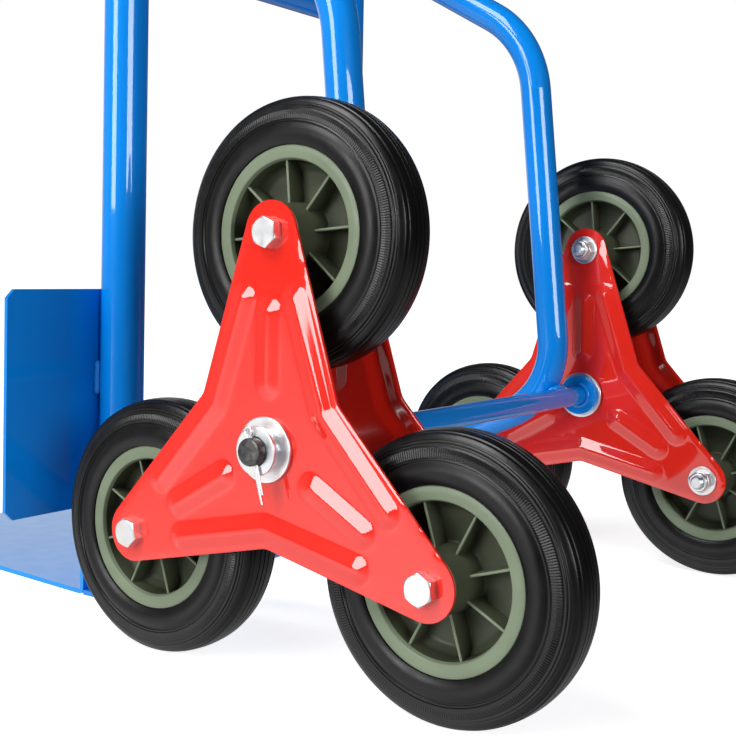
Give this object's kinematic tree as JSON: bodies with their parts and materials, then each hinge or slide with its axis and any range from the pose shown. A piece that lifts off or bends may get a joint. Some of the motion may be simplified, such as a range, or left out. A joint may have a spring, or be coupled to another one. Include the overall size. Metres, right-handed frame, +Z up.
{
  "type": "stair climbing hand truck",
  "caption": "Tubular steel hand truck with a toe plate and three-wheeled rotating stars on its axle, for moving loads up and down stairs.",
  "frame": {"origin": "centre of the bounding box on the floor, z = 0 where the lower wheels and the toe plate rest", "axes": "+X along the axle to the operator's left, -Y towards the load and the toe plate, +Z up"},
  "size_m": [0.514, 0.7, 1.1123],
  "materials": {
    "frame_paint": "gloss powder coat, bright blue",
    "star_paint": "gloss powder coat, bright red",
    "zinc_plate": "bright zinc plated steel",
    "tyre_rubber": "satin black solid rubber",
    "rim_plastic": "moulded plastic, grey green",
    "bush_plastic": "black acetal",
    "grip_rubber": "matt black rubber"
  },
  "bodies": {
    "frame": {"left_upright": "frame_paint", "right_upright": "frame_paint", "lower_crossbar": "frame_paint", "middle_crossbar": "frame_paint", "upper_crossbar": "frame_paint", "left_strut": "frame_paint", "right_strut": "frame_paint", "toe_plate": "frame_paint", "foot_plate": "frame_paint", "left_wheel_guard": "frame_paint", "right_wheel_guard": "frame_paint", "left_handgrip": "grip_rubber", "right_handgrip": "grip_rubber", "axle": "frame_paint", "axle_collars": "frame_paint", "inner_hub_washers": "zinc_plate", "retaining_washers": "zinc_plate", "split_pins": "zinc_plate"},
    "left_star": {"left_outer_star_plate": "star_paint", "left_inner_star_plate": "star_paint", "left_hub_sleeve": "zinc_plate", "left_outer_hub_washer": "zinc_plate", "left_hub_bushes": "bush_plastic", "left_spacer_tubes": "zinc_plate", "left_bolt_washers": "zinc_plate", "left_wheel_bolts": "zinc_plate", "left_lock_nuts": "zinc_plate"},
    "left_top_wheel": {"left_top_tyre": "tyre_rubber", "left_top_rim": "rim_plastic", "left_top_bush": "bush_plastic"},
    "left_front_wheel": {"left_front_tyre": "tyre_rubber", "left_front_rim": "rim_plastic", "left_front_bush": "bush_plastic"},
    "left_rear_wheel": {"left_rear_tyre": "tyre_rubber", "left_rear_rim": "rim_plastic", "left_rear_bush": "bush_plastic"},
    "right_star": {"right_outer_star_plate": "star_paint", "right_inner_star_plate": "star_paint", "right_hub_sleeve": "zinc_plate", "right_outer_hub_washer": "zinc_plate", "right_hub_bushes": "bush_plastic", "right_spacer_tubes": "zinc_plate", "right_bolt_washers": "zinc_plate", "right_wheel_bolts": "zinc_plate", "right_lock_nuts": "zinc_plate"},
    "right_top_wheel": {"right_top_tyre": "tyre_rubber", "right_top_rim": "rim_plastic", "right_top_bush": "bush_plastic"},
    "right_front_wheel": {"right_front_tyre": "tyre_rubber", "right_front_rim": "rim_plastic", "right_front_bush": "bush_plastic"},
    "right_rear_wheel": {"right_rear_tyre": "tyre_rubber", "right_rear_rim": "rim_plastic", "right_rear_bush": "bush_plastic"}
  },
  "joints": [
    {"name": "left_star_turn", "type": "hinge", "parent": "frame", "child": "left_star", "pos_m": [0.2085, 0.16396, 0.14125], "axis": [1, 0, 0], "continuous": true},
    {"name": "left_top_wheel_spin", "type": "hinge", "parent": "left_star", "child": "left_top_wheel", "pos_m": [0.2085, 0.16396, 0.26375], "axis": [1, 0, 0], "continuous": true},
    {"name": "left_front_wheel_spin", "type": "hinge", "parent": "left_star", "child": "left_front_wheel", "pos_m": [0.2085, 0.05787, 0.08], "axis": [1, 0, 0], "continuous": true},
    {"name": "left_rear_wheel_spin", "type": "hinge", "parent": "left_star", "child": "left_rear_wheel", "pos_m": [0.2085, 0.27004, 0.08], "axis": [1, 0, 0], "continuous": true},
    {"name": "right_star_turn", "type": "hinge", "parent": "frame", "child": "right_star", "pos_m": [-0.2085, 0.16396, 0.14125], "axis": [1, 0, 0], "continuous": true},
    {"name": "right_top_wheel_spin", "type": "hinge", "parent": "right_star", "child": "right_top_wheel", "pos_m": [-0.2085, 0.16396, 0.26375], "axis": [1, 0, 0], "continuous": true},
    {"name": "right_front_wheel_spin", "type": "hinge", "parent": "right_star", "child": "right_front_wheel", "pos_m": [-0.2085, 0.05787, 0.08], "axis": [1, 0, 0], "continuous": true},
    {"name": "right_rear_wheel_spin", "type": "hinge", "parent": "right_star", "child": "right_rear_wheel", "pos_m": [-0.2085, 0.27004, 0.08], "axis": [1, 0, 0], "continuous": true}
  ]
}
